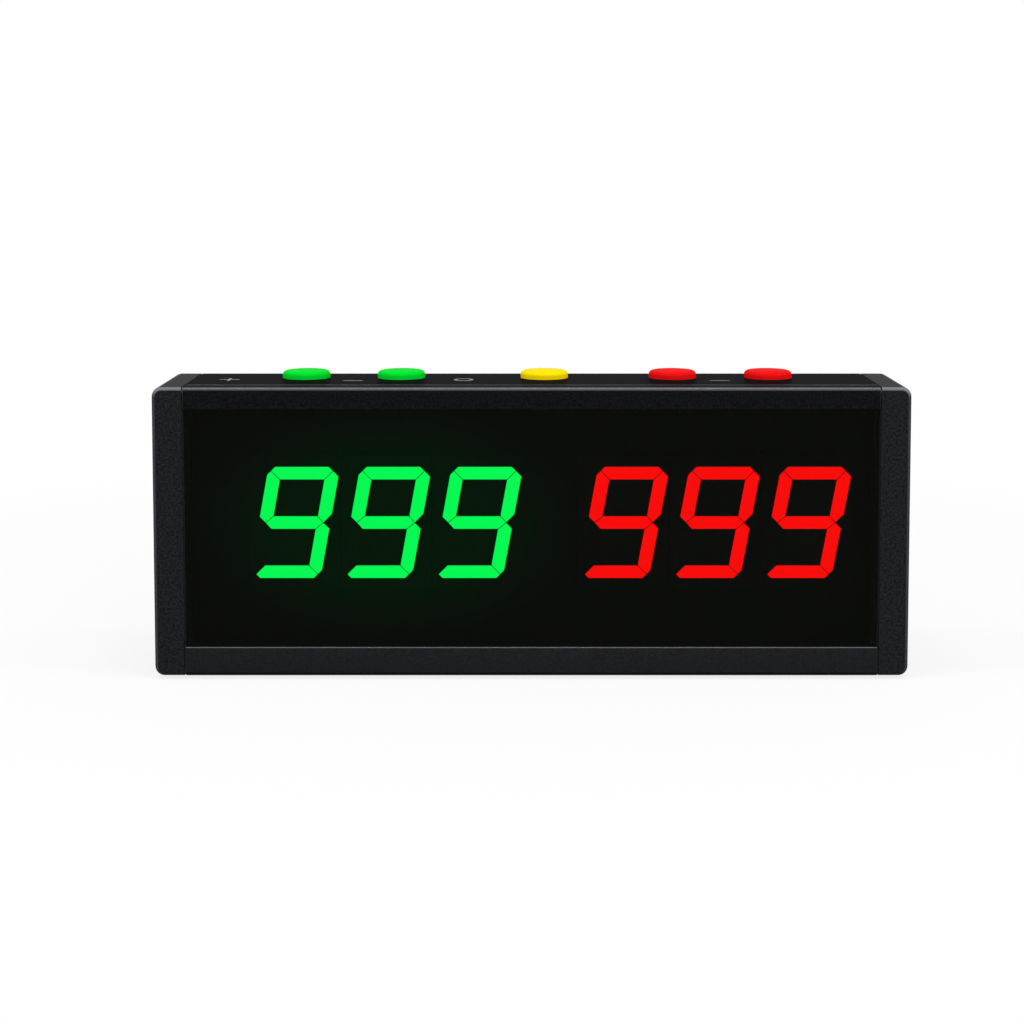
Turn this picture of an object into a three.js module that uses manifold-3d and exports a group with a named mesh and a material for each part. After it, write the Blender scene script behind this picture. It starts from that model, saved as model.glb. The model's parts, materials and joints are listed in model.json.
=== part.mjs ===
// Electronic scoreboard for a table or a bar top, with three green and three red digits.
// Millimetres, +Z up, +X to the right as seen from the front. The front faces -Y.
// The origin is on the table, under the middle of the case.
import * as THREE from "three";
import { mergeVertices } from "three/addons/utils/BufferGeometryUtils.js";
import Module from "manifold-3d";

const wasm = await Module();
wasm.setup();

// Fits, shared by every piece
const fitGap = 0.3; // between separate pieces that seat on or beside each other
const cutOverrun = 1; // how far a cutting solid passes the surface that it cuts

// Case: two extruded rails between two moulded end caps
const caseWidth = 280;
const caseDepth = 45;
const caseHeight = 108; // without feet and buttons
const endCapWidth = 11.5;
const endCapCorner = 3.6; // seen from the front
const edgeRound = 1.4; // along the front and back edges of caps and rails
const endCapWall = 2.5;
const railLength = caseWidth - 2 * endCapWidth;
const frontY = -caseDepth / 2;
const backY = caseDepth / 2;

// Rail walls, with heights counted from the rail's outer face into the case
const plateThickness = 2.5;
const topLipHeight = 8.4;
const bottomLipHeight = 10.8;
const lipThickness = 2.1;
const lipChamfer = 0.5;
const ribThickness = 1.4;
const skirtHeight = 11;
const skirtThickness = 1.6;
const shelfThickness = 1.6;
const fingerHeight = 4; // how far the panel groove reaches past the shelf
const innerFingerThickness = 2.2;
const outerFingerThickness = 1.5;
const lineSetback = 7.1; // decorative line on the top face, behind the front
const lineWidth = 0.6;
const lineDepth = 0.4;

// Front window, held in the rails' front groove
const windowThickness = 2;
const windowFront = frontY + lipThickness + fitGap;
const windowBack = windowFront + windowThickness;

// Rear panel, held in the rails' rear groove
const panelThickness = 1.5;
const panelRecess = 4.2; // from the back of the case to the panel's outer face
const panelOuter = backY - panelRecess;
const panelInner = panelOuter - panelThickness;
const innerFingerBack = panelInner - fitGap;
const innerFingerFront = innerFingerBack - innerFingerThickness;
const outerFingerFront = panelOuter + fitGap;

// Screws that hold the end caps, and the ports that they bite into
const screwShank = 2.8;
const screwLength = 16;
const screwHead = 5.6;
const screwHeadHeight = 2.2;
const screwSink = 0.4; // how far the head lies below the cap's side face
const screwTip = 1.2;
const recessLength = 3.2; // cross recess in the head
const recessWidth = 0.8;
const recessDepth = 1.1;
const portWall = 1.4;
const screwHole = screwShank + 2 * fitGap;
const portRadius = screwHole / 2 + portWall;
const frontPortHeight = topLipHeight - portRadius; // hidden behind the front lip
const portInset = 0.2; // keeps the rear ports clear of the panel's groove
const rearPortY = innerFingerBack - portRadius - portInset;
const capBossRadius = screwHead / 2 + fitGap + portWall;

// Feet, let into the bottom rail
const footDiameter = 10;
const footStand = 1.2; // how far a foot stands out below the case
const footSocketDepth = 0.9;
const footEdge = 0.4;
const footInsetX = 22; // from the end of the case to the middle of a foot
const footInsetY = 11; // from the front or back of the case, too far in for them to show

// Digits: a housing with a leaning figure of seven segments in its face
const housingWidth = 33.4;
const housingHeight = 50;
const housingDepth = 10;
const housingWall = 1.2;
const housingRecess = 2.2; // open back, filled by the joined ends of the segments
const figureSideRim = 0.5; // from the uprights' far ends to the housing's sides
const figureEndRim = 4.15; // above and below the figure
const barThickness = 4.6; // level segments
const uprightThickness = 4.9; // leaning segments, measured level
const leanShare = 0.182; // sideways lean for each unit of height
const digitHeight = housingHeight - 2 * figureEndRim;
const digitLean = leanShare * (digitHeight - 2 * barThickness);
const digitWidth = housingWidth - digitLean - 2 * figureSideRim; // level, across both uprights
const cornerReach = 4.9; // from an inner corner of the figure to its cut-off outer corner
const segmentGap = 0.5; // dark line between two segments
const lensClearance = 0.1; // between a segment and its walls
const lensBackThickness = 1.4;
const digitFaceGap = 0.5; // between the window and the digits
const digitFaceY = windowBack + digitFaceGap;
const housingBack = digitFaceY + housingDepth;

// Places of the digits: three green ones, three red ones, and the room that they leave beside
// and between them
const digitGap = 0.6; // between two housings
const digitRise = 1.5; // above the middle of the opening between the front lips
const digitsPerSide = 3;
const roomShares = { left: 0.4354, right: 0.1753 };
const digitPitch = housingWidth + digitGap;
const groupWidth = digitsPerSide * digitPitch - digitGap;
const room = railLength - 2 * groupWidth;
const greenMiddleX = roomShares.left * room + groupWidth / 2 - railLength / 2;
const redMiddleX = railLength / 2 - groupWidth / 2 - roomShares.right * room;
const digitMiddleZ = (caseHeight - topLipHeight + bottomLipHeight) / 2 + digitRise;

// Display board, upright in the rails' middle groove
const boardThickness = 1.6;
const boardFront = housingBack + fitGap;
const boardBack = boardFront + boardThickness;
const frontRibBack = boardFront - fitGap;
const backRibFront = boardBack + fitGap;

// Chips on the back of the display board
const chipHeight = 1.6;
const chipEdge = 0.3;
const controllerSize = 12;
const controllerX = 4;
const driverWidth = 10;
const driverHeight = 5.4;
const chipZ = 48;

// Push buttons
const buttonDiameter = 18.2;
const buttonStand = 3; // above the case
const buttonEdge = 0.9;
const buttonTopThickness = 1.8;
const buttonWall = 1.5;
const buttonSkirtDepth = 5.5; // below the case's top face
const buttonStem = 6;
const buttonHoleGap = 0.3;
const buttonTravel = 1.5;
const earReach = 2.2;
const earWidth = 6;
const earThickness = 1.5;
const switchSize = 8.5; // of the push switch under each button
const switchGap = 0.55; // between the push switches and the rail's rear finger
const buttonY = innerFingerFront - switchGap - switchSize / 2;
// Each button's place along the case is a share of half the case's width
const buttons = [
  { name: "green_outer", placeShare: -0.617, color: 0x1fb23a },
  { name: "green_inner", placeShare: -0.3564, color: 0x1fb23a },
  { name: "yellow", placeShare: 0.0357, color: 0xf2d21b },
  { name: "red_inner", placeShare: 0.3879, color: 0xd8232a },
  { name: "red_outer", placeShare: 0.65, color: 0xd8232a },
].map((button) => ({ ...button, x: (button.placeShare * caseWidth) / 2 }));

// Button board, lying in two slots under the buttons
const buttonBoardDepth = 14; // from the case's top face to the board's upper face
const buttonBoardTop = caseHeight - buttonBoardDepth;
const slotDepth = 1.1;
const slotLand = 2; // wall left below a slot
const buttonRibThickness = 2;
const buttonRibGap = 0.8; // between the rib and the buttons
const buttonRibBack = buttonY - buttonDiameter / 2 - buttonRibGap;
const slotTopHeight = buttonBoardDepth - fitGap;
const slotBottomHeight = buttonBoardDepth + boardThickness + fitGap;
const portDrop = 1.7; // from the slot down to the rear port, and the same in the bottom rail
const rearPortHeight = slotBottomHeight + portRadius + portDrop;

// Push switches on the button board
const switchHeight = 6;
const switchFloor = 1.2;
const plungerDiameter = 4;
const plungerDepth = 2.8; // length inside the switch at rest
const plungerSpare = 0.7; // still standing out of the switch when the button is down
const switchBottom = buttonBoardTop + fitGap;
const switchTop = switchBottom + switchHeight;
const plungerBottom = switchTop - plungerDepth;
const plungerTop = switchTop + buttonTravel + plungerSpare;
const stemBottom = plungerTop + fitGap;

// Power socket in the rear panel
const socketInset = 42; // from the left end of the case to the socket's axis
const socketX = socketInset - caseWidth / 2;
const socketThread = 7.8;
const socketFlange = 11;
const socketFlangeHeight = 1.5;
const socketLength = 11; // behind the panel
const socketBore = 6;
const socketBoreDepth = 9.5;
const socketPin = 2;
const socketPinSink = 1;
const nutAcrossFlats = 10.4;
const nutHeight = 2;
const tabWidth = 2.4;
const tabThickness = 0.8;
const tabLength = 3;

// Power switch in the rear panel
const inletPitch = 28; // from the socket to the power switch
const rockerX = socketX + inletPitch;
const bezelWidth = 15;
const bezelHeight = 21;
const bezelThickness = 1.5;
const bezelCorner = 1.5;
const switchBodyWidth = 12.8;
const switchBodyHeight = 18.8;
const switchBodyDepth = 12; // behind the panel
const inletGap = 0.8; // from the bottom rail's rear port up to the body
const inletZ = rearPortHeight + portRadius + inletGap + switchBodyHeight / 2;
const rockerPocketWidth = 10;
const rockerPocketHeight = 16.2;
const rockerPocketDepth = 4.4; // below the bezel's face
const rockerEndGap = 0.5;
const rockerHeight = rockerPocketHeight - 2 * rockerEndGap;
const rockerRise = 1; // from its axis out to its face
const rockerDrop = 2; // from its axis in to its underside
const rockerDish = 0.5;
const rockerAxisSink = 0.6; // axis below the bezel's face
const rockerTilt = 7; // degrees each way
const rockerPin = 1.8;
const rockerPinLength = 0.8;
const bezelFace = panelOuter + fitGap + bezelThickness;
const rockerAxisY = bezelFace - rockerAxisSink;

// Wiring inside the case
const leadDiameter = 1.6;
const leadSides = 8;
const leadSteps = 14;
const leadExit = 2; // straight length at each end
const leadBow = 8; // how far a lead bows up or down from its ends
const ribbonWidth = 14;
const ribbonThickness = 1;
const ribbonX = 28;
const ribbonY = 2;
const ribbonBend = 3;
const ribbonDrop = 12; // from the button board down to the middle of the level run

// Roundness of round pieces, as counts
const roundSides = 28;
const smallSides = 16;
const screwSides = 12;
const arcSteps = 3;

// Geometry to solid and back, for joins and cuts
function solidOf(geometry) {
  const bare = geometry.clone();
  bare.deleteAttribute("normal");
  bare.deleteAttribute("uv");
  const merged = mergeVertices(bare, 1e-5);
  const mesh = new wasm.Mesh({
    numProp: 3,
    vertProperties: new Float32Array(merged.attributes.position.array),
    triVerts: new Uint32Array(merged.index.array),
  });
  return new wasm.Manifold(mesh);
}

function geometryOf(solid) {
  const mesh = solid.getMesh();
  const geometry = new THREE.BufferGeometry();
  geometry.setAttribute("position", new THREE.BufferAttribute(mesh.vertProperties, 3));
  geometry.setIndex(new THREE.BufferAttribute(mesh.triVerts, 1));
  const flat = geometry.toNonIndexed();
  flat.computeVertexNormals();
  return flat;
}

const joined = (solids) => solids.reduce((whole, piece) => whole.add(piece));
const cutBy = (solid, tools) => tools.reduce((left, tool) => left.subtract(tool), solid);

// A box between two values on each axis, in either order
function boxBetween([x0, x1], [y0, y1], [z0, z1]) {
  const box = new THREE.BoxGeometry(Math.abs(x1 - x0), Math.abs(y1 - y0), Math.abs(z1 - z0));
  return solidOf(box.translate((x0 + x1) / 2, (y0 + y1) / 2, (z0 + z1) / 2));
}

// Axes that carry an outline drawn in X and Y, and its depth, to each direction of extrusion
const X = new THREE.Vector3(1, 0, 0);
const Y = new THREE.Vector3(0, 1, 0);
const Z = new THREE.Vector3(0, 0, 1);
const turnToX = new THREE.Matrix4().makeBasis(Y, Z, X);
const turnToY = new THREE.Matrix4().makeBasis(X, Z, Y.clone().negate());

// An outline in Y and Z, extruded along X between two values
function prismX(shape, [x0, x1]) {
  const prism = new THREE.ExtrudeGeometry(shape, {
    depth: x1 - x0,
    bevelEnabled: false,
    curveSegments: arcSteps,
  });
  return solidOf(prism.applyMatrix4(turnToX).translate(x0, 0, 0));
}

// An outline in X and Z, extruded along Y between two values, with rounded end edges if asked
function prismY(shape, [y0, y1], round = 0) {
  const prism = new THREE.ExtrudeGeometry(shape, {
    depth: y1 - y0 - 2 * round,
    bevelEnabled: round > 0,
    bevelSize: round,
    bevelThickness: round,
    bevelOffset: -round,
    bevelSegments: arcSteps,
    curveSegments: arcSteps,
  });
  return solidOf(prism.applyMatrix4(turnToY).translate(0, y1 - round, 0));
}

// A cylinder along X, Y or Z from one value to another, through a point on its axis
function cylinder(axis, radius, [from, to], [u, v], sides = roundSides) {
  const geometry = new THREE.CylinderGeometry(radius, radius, to - from, sides);
  const middle = (from + to) / 2;
  if (axis === "x") return solidOf(geometry.rotateZ(Math.PI / 2).translate(middle, u, v));
  if (axis === "y") return solidOf(geometry.translate(u, middle, v));
  return solidOf(geometry.rotateX(Math.PI / 2).translate(u, v, middle));
}

// A profile of radius and height, turned round the Z axis
function turned(profile, sides = roundSides) {
  const points = profile.map(([radius, height]) => new THREE.Vector2(radius, height));
  const lathe = new THREE.LatheGeometry(points, sides);
  return solidOf(lathe.rotateX(Math.PI / 2));
}

// Points of a quarter arc, in radius and height
function quarterArc(centreRadius, centreHeight, radius) {
  return Array.from({ length: arcSteps + 1 }, (_, step) => {
    const angle = (step / arcSteps) * (Math.PI / 2);
    return [centreRadius + radius * Math.cos(angle), centreHeight + radius * Math.sin(angle)];
  });
}

function roundedRectangle(width, height, corner) {
  const shape = new THREE.Shape();
  const x = width / 2 - corner;
  const y = height / 2 - corner;
  shape.absarc(x, y, corner, 0, Math.PI / 2);
  shape.absarc(-x, y, corner, Math.PI / 2, Math.PI);
  shape.absarc(-x, -y, corner, Math.PI, Math.PI * 1.5);
  shape.absarc(x, -y, corner, Math.PI * 1.5, Math.PI * 2);
  return shape;
}

// Materials
function material(color, roughness, metalness = 0, extra = {}) {
  return new THREE.MeshStandardMaterial({ color, roughness, metalness, ...extra });
}
const railFinish = material(0x1c1d1f, 0.42, 0.1);
const capPlastic = material(0x202123, 0.55);
const windowAcrylic = material(0x0c0e0c, 0.08, 0, { transparent: true, opacity: 0.55 });
const panelFinish = material(0x1b1c1e, 0.6);
const boardResin = material(0x1d4a2c, 0.5);
const housingPlastic = material(0x161718, 0.6);
const greenLens = material(0x00ff46, 0.35, 0, { emissive: 0x00ff46 });
const redLens = material(0xff0000, 0.35, 0, { emissive: 0xff0000 });
const chipResin = material(0x17181a, 0.5);
const blackPlastic = material(0x141516, 0.45);
const plungerPlastic = material(0xe6e6e0, 0.5);
const steel = material(0x3a3b3d, 0.35, 0.9);
const nickel = material(0xb9bbbd, 0.3, 0.9);
const rubber = material(0x191919, 0.85);
const ribbonJacket = material(0x9a9ca0, 0.55);
const redLead = material(0xb01d1d, 0.5);
const blackLead = material(0x151515, 0.5);

const scoreboard = new THREE.Group();
const shell = new THREE.Group();
shell.position.z = footStand;
scoreboard.add(shell);

function addPiece(name, solidOrGeometry, finish, group = shell) {
  const geometry = solidOrGeometry.isBufferGeometry ? solidOrGeometry : geometryOf(solidOrGeometry);
  const piece = new THREE.Mesh(geometry, finish);
  piece.name = name;
  group.add(piece);
  return piece;
}

// Rails: an outer skin with a front lip and a rear skirt, ribs that form the grooves inside,
// and two round ports for the end cap screws
const railSpan = [-railLength / 2, railLength / 2];

function railSkin(at, inward, lipHeight) {
  const skin = new THREE.Shape();
  const roundAt = at(edgeRound);
  const quarter = Math.PI / 2;
  const outward = inward < 0 ? quarter : -quarter;
  skin.moveTo(frontY, at(lipHeight - lipChamfer));
  skin.absarc(frontY + edgeRound, roundAt, edgeRound, Math.PI, outward, inward < 0);
  skin.absarc(backY - edgeRound, roundAt, edgeRound, outward, 0, inward < 0);
  skin.lineTo(backY, at(skirtHeight));
  skin.lineTo(backY - skirtThickness, at(skirtHeight));
  skin.lineTo(backY - skirtThickness, at(plateThickness));
  skin.lineTo(frontY + lipThickness, at(plateThickness));
  skin.lineTo(frontY + lipThickness, at(lipHeight));
  skin.lineTo(frontY + lipChamfer, at(lipHeight));
  return prismX(skin, railSpan);
}

function railSolid(outerFace, inward, lipHeight) {
  const at = (height) => outerFace + inward * height;
  const wall = (y0, y1, from, to) => boxBetween(railSpan, [y0, y1], [at(from), at(to)]);
  const insidePlate = plateThickness / 2;
  const halfRib = ribThickness / 2;
  const insideShelf = skirtHeight - shelfThickness / 2;
  const grooveEnd = skirtHeight + fingerHeight;
  const rail = joined([
    railSkin(at, inward, lipHeight),
    wall(windowBack + fitGap, windowBack + fitGap + ribThickness, insidePlate, lipHeight),
    wall(frontRibBack - ribThickness, frontRibBack, insidePlate, lipHeight),
    wall(backRibFront, backRibFront + ribThickness, insidePlate, lipHeight),
    wall(innerFingerFront, backY - skirtThickness / 2, skirtHeight - shelfThickness, skirtHeight),
    wall(innerFingerFront, innerFingerBack, insideShelf, rearPortHeight),
    wall(outerFingerFront, outerFingerFront + outerFingerThickness, insideShelf, grooveEnd),
    wall(frontPortY - halfRib, frontPortY + halfRib, insidePlate, frontPortHeight),
    cylinder("x", portRadius, railSpan, [frontPortY, at(frontPortHeight)], smallSides),
    cylinder("x", portRadius, railSpan, [rearPortY, at(rearPortHeight)], smallSides),
  ]);
  const drill = [railSpan[0] - cutOverrun, railSpan[1] + cutOverrun];
  return cutBy(rail, [
    cylinder("x", screwHole / 2, drill, [frontPortY, at(frontPortHeight)], smallSides),
    cylinder("x", screwHole / 2, drill, [rearPortY, at(rearPortHeight)], smallSides),
  ]);
}

const windowRibBack = windowBack + fitGap + ribThickness;
const frontPortY = (windowRibBack + frontRibBack - ribThickness) / 2;

function topRail() {
  const at = (height) => caseHeight - height;
  const ribEnd = slotBottomHeight + slotLand;
  const rib = boxBetween(
    railSpan,
    [buttonRibBack - buttonRibThickness, buttonRibBack],
    [at(plateThickness / 2), at(ribEnd)],
  );
  const drill = [railSpan[0] - cutOverrun, railSpan[1] + cutOverrun];
  const slotHeights = [at(slotTopHeight), at(slotBottomHeight)];
  const frontSlotY = [buttonRibBack - slotDepth, buttonRibBack + fitGap];
  const rearSlotY = [innerFingerFront - fitGap, innerFingerFront + slotDepth];
  const frontSlot = boxBetween(drill, frontSlotY, slotHeights);
  const rearSlot = boxBetween(drill, rearSlotY, slotHeights);
  const lineY = frontY + lineSetback;
  const line = boxBetween(drill, [lineY, lineY + lineWidth], [at(lineDepth), at(-cutOverrun)]);
  const holeRadius = buttonDiameter / 2 + buttonHoleGap;
  const through = [at(plateThickness + cutOverrun), at(-cutOverrun)];
  const holes = buttons.map(({ x }) => cylinder("z", holeRadius, through, [x, buttonY]));
  const rail = railSolid(caseHeight, -1, topLipHeight).add(rib);
  return cutBy(rail, [frontSlot, rearSlot, line, ...holes]);
}

const footPlaces = [
  ["front_left_foot", -1, -1],
  ["front_right_foot", 1, -1],
  ["rear_left_foot", -1, 1],
  ["rear_right_foot", 1, 1],
].map(([name, side, end]) => ({
  name,
  x: side * (caseWidth / 2 - footInsetX),
  y: end * (caseDepth / 2 - footInsetY),
}));

function bottomRail() {
  const socketRadius = footDiameter / 2 + fitGap;
  const sockets = footPlaces.map(({ x, y }) =>
    cylinder("z", socketRadius, [-cutOverrun, footSocketDepth], [x, y], smallSides),
  );
  return cutBy(railSolid(0, 1, bottomLipHeight), sockets);
}

addPiece("top_rail", topRail(), railFinish);
addPiece("bottom_rail", bottomRail(), railFinish);

// Flat pieces that slide into the rails' grooves
const slideSpan = [-railLength / 2 + fitGap, railLength / 2 - fitGap];
const slideHeights = [plateThickness + fitGap, caseHeight - plateThickness - fitGap];
const panelHeights = [skirtHeight + fitGap, caseHeight - skirtHeight - fitGap];
addPiece("front_window", boxBetween(slideSpan, [windowFront, windowBack], slideHeights), windowAcrylic);
addPiece("display_board", boxBetween(slideSpan, [boardFront, boardBack], slideHeights), boardResin);

function rearPanel() {
  const plate = boxBetween(slideSpan, [panelInner, panelOuter], panelHeights);
  const through = [panelInner - cutOverrun, panelOuter + cutOverrun];
  const socketHole = cylinder("y", socketThread / 2 + fitGap, through, [socketX, inletZ]);
  const halfWidth = switchBodyWidth / 2 + fitGap;
  const halfHeight = switchBodyHeight / 2 + fitGap;
  const switchHole = boxBetween(
    [rockerX - halfWidth, rockerX + halfWidth],
    through,
    [inletZ - halfHeight, inletZ + halfHeight],
  );
  return cutBy(plate, [socketHole, switchHole]);
}

addPiece("rear_panel", rearPanel(), panelFinish);

// End caps: a moulded tray with rounded outer corners, open to the inside, with screw bosses.
// The right one is drawn, and the left one is its mirror image.
const screwPlaces = [
  ["front_top", frontPortY, caseHeight - frontPortHeight],
  ["front_bottom", frontPortY, frontPortHeight],
  ["rear_top", rearPortY, caseHeight - rearPortHeight],
  ["rear_bottom", rearPortY, rearPortHeight],
];

function endCap() {
  const inner = railLength / 2;
  const outer = caseWidth / 2;
  const outline = roundedRectangle(2 * endCapWidth, caseHeight, endCapCorner);
  const block = prismY(outline, [frontY, backY], edgeRound).translate([inner, 0, caseHeight / 2]);
  const pocketX = [inner - cutOverrun, outer - endCapWall];
  const pocketZ = [plateThickness, caseHeight - plateThickness];
  const half = boxBetween([inner, outer], [frontY, backY], [0, caseHeight]);
  const pockets = joined([
    boxBetween(pocketX, [windowRibBack, frontRibBack - ribThickness], pocketZ),
    boxBetween(pocketX, [backRibFront + ribThickness, innerFingerFront], pocketZ),
  ]);
  const bossX = [inner - 2 * cutOverrun, outer];
  const boss = ([, y, z]) => cylinder("x", capBossRadius, bossX, [y, z], smallSides);
  const headSeat = outer - screwSink - screwHeadHeight - fitGap;
  const holeX = [inner - cutOverrun, headSeat + cutOverrun];
  const hole = ([, y, z]) => cylinder("x", screwHole / 2, holeX, [y, z], smallSides);
  const sinkX = [headSeat, outer + cutOverrun];
  const sink = ([, y, z]) => cylinder("x", screwHead / 2 + fitGap, sinkX, [y, z], smallSides);
  return cutBy(block.intersect(half), [
    cutBy(pockets, screwPlaces.map(boss)),
    ...screwPlaces.map(hole),
    ...screwPlaces.map(sink),
  ]);
}

const endCapGeometry = geometryOf(endCap());
addPiece("right_end_cap", endCapGeometry, capPlastic);
addPiece("left_end_cap", endCapGeometry, capPlastic).scale.x = -1;

// Screws: pan heads with a cross recess, drawn along +Z with the face of the head at the origin
function screw() {
  const headRadius = screwHead / 2;
  const shankRadius = screwShank / 2;
  const body = turned(
    [
      [0, -screwHeadHeight - screwLength],
      [shankRadius, -screwHeadHeight - screwLength + screwTip],
      [shankRadius, -screwHeadHeight],
      [headRadius, -screwHeadHeight],
      [headRadius, -screwHeadHeight / 2],
      [headRadius - screwHeadHeight / 4, 0],
      [0, 0],
    ],
    screwSides,
  );
  const reach = [-recessLength / 2, recessLength / 2];
  const width = [-recessWidth / 2, recessWidth / 2];
  const depth = [-recessDepth, cutOverrun];
  return cutBy(body, [boxBetween(reach, width, depth), boxBetween(width, reach, depth)]);
}

const screwGeometry = geometryOf(screw());
for (const [sideName, side] of [["left", -1], ["right", 1]]) {
  for (const [place, y, z] of screwPlaces) {
    const piece = addPiece(`${sideName}_${place}_screw`, screwGeometry, steel);
    piece.position.set(side * (caseWidth / 2 - screwSink), y, z);
    piece.rotation.y = side * (Math.PI / 2);
  }
}

// Feet: rubber discs in shallow sockets
const footHeight = footStand + footSocketDepth - fitGap;
const footGeometry = geometryOf(
  turned(
    [
      [0, -footStand],
      [footDiameter / 2 - footEdge, -footStand],
      [footDiameter / 2, footEdge - footStand],
      [footDiameter / 2, footHeight - footStand],
      [0, footHeight - footStand],
    ],
    smallSides,
  ),
);
for (const { name, x, y } of footPlaces) {
  addPiece(name, footGeometry, rubber).position.set(x, y, 0);
}

// Digits. The figure leans to the right. Its grid lies in the middle of the dark lines, so it
// is half a line larger than the lit figure on every side.
const lineHalf = segmentGap / 2;
const gridX = digitWidth / 2 + lineHalf;
const gridZ = digitHeight / 2 + lineHalf;
const gridBar = barThickness + segmentGap;
const gridUpright = uprightThickness + segmentGap;
const leaned = (x, z) => new THREE.Vector2(x + leanShare * z, z);

// The cut-off corner: where the mitre ends, and where the cut meets the level and upright edges
function figureCorner(sideX, sideZ) {
  const inner = leaned(sideX * (gridX - gridUpright), sideZ * (gridZ - gridBar));
  const reach = cornerReach * Math.SQRT1_2;
  const mitre = inner.clone().add(new THREE.Vector2(sideX * reach, sideZ * reach));
  const toLevel = gridZ - Math.abs(mitre.y);
  const level = new THREE.Vector2(mitre.x - sideX * toLevel, sideZ * gridZ);
  const toUpright = (sideX * gridX + leanShare * mitre.y - mitre.x) / (sideX + leanShare * sideZ);
  const upright = new THREE.Vector2(mitre.x + sideX * toUpright, mitre.y - sideZ * toUpright);
  return { inner, mitre, level, upright };
}

// The middle of a side, where the level middle segment points at the two uprights
function figureWaist(sideX, sideZ) {
  const inner = leaned(sideX * (gridX - gridUpright), (sideZ * gridBar) / 2);
  const mitre = leaned(sideX * (gridX - gridUpright / 2), 0);
  const toUpright = (sideX * gridUpright) / 2 / (sideX - leanShare * sideZ);
  const upright = new THREE.Vector2(mitre.x + sideX * toUpright, sideZ * toUpright);
  return { inner, mitre, upright };
}

function levelEnd(sideZ) {
  const left = figureCorner(-1, sideZ);
  const right = figureCorner(1, sideZ);
  return [left.mitre, left.level, right.level, right.mitre, right.inner, left.inner];
}

function upright(sideX, sideZ) {
  const end = figureCorner(sideX, sideZ);
  const waist = figureWaist(sideX, sideZ);
  return [end.mitre, end.upright, waist.upright, waist.mitre, waist.inner, end.inner];
}

function middleBar() {
  const [left, right] = [-1, 1].map((side) => figureWaist(side, 1));
  const [leftLow, rightLow] = [-1, 1].map((side) => figureWaist(side, -1));
  return [left.mitre, left.inner, right.inner, right.mitre, rightLow.inner, leftLow.inner];
}

const segments = [
  levelEnd(1),
  middleBar(),
  levelEnd(-1),
  upright(-1, 1),
  upright(1, 1),
  upright(-1, -1),
  upright(1, -1),
];

// A convex outline with every side moved inwards
function inset(points, distance) {
  const turn = Math.sign(THREE.ShapeUtils.area(points));
  const normal = (from, to) => {
    const along = to.clone().sub(from).normalize();
    return new THREE.Vector2(-along.y, along.x).multiplyScalar(turn);
  };
  return points.map((point, index) => {
    const into = normal(points.at(index - 1), point);
    const out = normal(point, points[(index + 1) % points.length]);
    const reach = distance / (1 + into.dot(out));
    return point.clone().addScaledVector(into.add(out), reach);
  });
}

const recessX = [housingWall - housingWidth / 2, housingWidth / 2 - housingWall];
const recessZ = [housingWall - housingHeight / 2, housingHeight / 2 - housingWall];

function digitHousing() {
  const block = boxBetween(
    [-housingWidth / 2, housingWidth / 2],
    [0, housingDepth],
    [-housingHeight / 2, housingHeight / 2],
  );
  const recess = boxBetween(recessX, [housingDepth - housingRecess, housingDepth + cutOverrun], recessZ);
  const through = [-cutOverrun, housingDepth];
  const cavity = (points) => prismY(new THREE.Shape(inset(points, lineHalf - lensClearance)), through);
  return cutBy(block, [recess, ...segments.map(cavity)]);
}

function digitLens() {
  const backFront = housingDepth - housingRecess + fitGap;
  const shrunk = ([low, high]) => [low + fitGap, high - fitGap];
  const back = boxBetween(shrunk(recessX), [backFront, backFront + lensBackThickness], shrunk(recessZ));
  const bar = (points) =>
    prismY(new THREE.Shape(inset(points, lineHalf)), [0, backFront + lensBackThickness / 2]);
  return joined([back, ...segments.map(bar)]);
}

const housingGeometry = geometryOf(digitHousing());
const lensGeometry = geometryOf(digitLens());
const sides = [
  { color: "green", middle: greenMiddleX, finish: greenLens },
  { color: "red", middle: redMiddleX, finish: redLens },
];
for (const { color, middle, finish } of sides) {
  for (let index = 0; index < digitsPerSide; index++) {
    const digit = new THREE.Group();
    const step = index - (digitsPerSide - 1) / 2;
    digit.position.set(middle + step * digitPitch, digitFaceY, digitMiddleZ);
    addPiece(`${color}_digit_${index + 1}_housing`, housingGeometry, housingPlastic, digit);
    addPiece(`${color}_digit_${index + 1}_segments`, lensGeometry, finish, digit);
    shell.add(digit);
  }
}

// Chips on the back of the display board
function chip(width, height) {
  const half = chipHeight / 2;
  const lower = boxBetween([-width / 2, width / 2], [0, half], [-height / 2, height / 2]);
  const top = [width / 2 - chipEdge, height / 2 - chipEdge];
  const upper = boxBetween([-top[0], top[0]], [half / 2, chipHeight], [-top[1], top[1]]);
  return lower.add(upper);
}

const chips = [
  ["controller_chip", controllerX, controllerSize, controllerSize],
  ["green_driver_chip", greenMiddleX, driverWidth, driverHeight],
  ["red_driver_chip", redMiddleX, driverWidth, driverHeight],
];
for (const [name, x, width, height] of chips) {
  addPiece(name, chip(width, height), chipResin).position.set(x, boardBack + fitGap, chipZ);
}

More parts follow.
